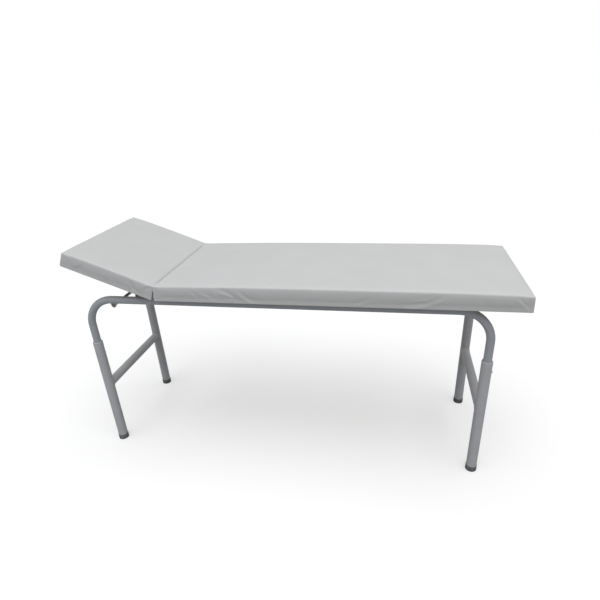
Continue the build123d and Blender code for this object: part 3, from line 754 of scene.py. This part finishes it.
def place_tilted(piece):
    """Turns the flat head pad over the hinge and up to its rest angle."""
    points = mesh_points(piece.data)
    along = np.array([-math.cos(REST_TILT), 0, math.sin(REST_TILT)])
    upward = np.array([math.sin(REST_TILT), 0, math.cos(REST_TILT)])
    placed = (points[:, :1] * along + (points[:, 2:] - HINGE.z) * upward
              + points[:, 1:2] * np.array([0, 1, 0]) + np.array([HINGE.x, 0, HINGE.z]))
    set_points(piece.data, placed)
    piece.data.flip_normals()


def refine(piece):
    """One subdivision over the final points, then smooth shading."""
    modifier = piece.modifiers.new("subdivision", "SUBSURF")
    modifier.levels = 1
    modifier.render_levels = 1
    graph = bpy.context.evaluated_depsgraph_get()
    finished = bpy.data.meshes.new_from_object(piece.evaluated_get(graph))
    piece.modifiers.remove(modifier)
    piece.data = finished
    for polygon in finished.polygons:
        polygon.use_smooth = True


def bend_at_fold(piece):
    """Bakes the pad's placement into its mesh points."""
    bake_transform(piece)


def upholster():
    vinyl = vinyl_material()
    head_base = PAD_BASE + HEAD_BASE_LIFT
    board_base = MAIN_BOARD_LOW.z
    main = make_pad("main_pad", MAIN_REACH, PAD_BASE, board_base, MAIN_PITCH, MAIN_RISES, {
        (1, -1): NEAR_DRAGS,
        (1, 1): random_drags(11, MAIN_REACH, 0.14),
        (0, 1): random_drags(12, 2 * HALF_WIDTH, 0.11),
    }, seed=21)
    place_flat(main)
    head = make_pad("head_pad", HEAD_REACH, head_base, board_base + HEAD_BASE_LIFT,
                    HEAD_PITCH, HEAD_RISES, {
        (1, -1): HEAD_DRAGS,
        (1, 1): random_drags(13, HEAD_REACH, 0.09),
        (0, 1): random_drags(14, 2 * HALF_WIDTH, 0.12),
    }, seed=31)
    place_tilted(head)
    for pad, nodes in ((main, ("main_cover", "main_foam")), (head, ("head_cover", "head_foam"))):
        refine(pad)
        pad.data.materials.clear()
        pad.data.materials.append(vinyl)
        bend_at_fold(pad)
        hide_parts(*nodes)


# ------------------------------------------------------------------ carried-over CAD nodes
def dress_frame():
    """Gives every CAD node its slot's finish, and the lower legs and crossbars a lighter one,
    partly painted light.
    """
    finishes = {
        "frame_paint": paint_material("frame_paint_coat", UPPER_TUBE_PAINT),
        "collar_metal": paint_material("collar_coat", COLLAR_PAINT, roughness=0.3),
        "rod_paint": paint_material("rod_coat", ROD_PAINT),
        "rack_steel": paint_material("rack_coat", RACK_PAINT),
        "foot_plastic": foot_material(),
        "zinc_hardware": zinc_material(),
        "plywood": plywood_material(),
        "vinyl": vinyl_material("hidden_cover"),
        "foam": foam_material(),
    }
    # A lighter copy of the frame paint: partly a paler paint tone, partly painted light standing
    # in for the floor's stronger bounce on the low tubes.
    lower_legs_paint_and_light = paint_material("lower_leg_coat_and_light", LOWER_TUBE_PAINT_AND_LIGHT)
    for name, node in frame["nodes"].items():
        for slot in node.material_slots:
            slot_name = slot.material.name.split(".")[0]
            slot.link = "OBJECT"
            slot.material = finishes[slot_name]
            if name.startswith(("leg_sleeve", "crossbar")):
                slot.material = lower_legs_paint_and_light


def foam_material():
    """Open-cell foam."""
    shader = Shader("open_foam", roughness=0.95, specular=0.1)
    shader.colour(shader.ramp(shader.cells(900), shades(FOAM_YELLOW, 0.1)))
    shader.bumps((shader.cells(900), 0.0005, 0.6))
    return shader.material


# ------------------------------------------------------------------ scene
def make_studio():
    bpy.context.scene.view_settings.view_transform = "Standard"
    make_world()
    make_camera()
    make_stage()
    make_lights()


make_studio()
dress_frame()
upholster()
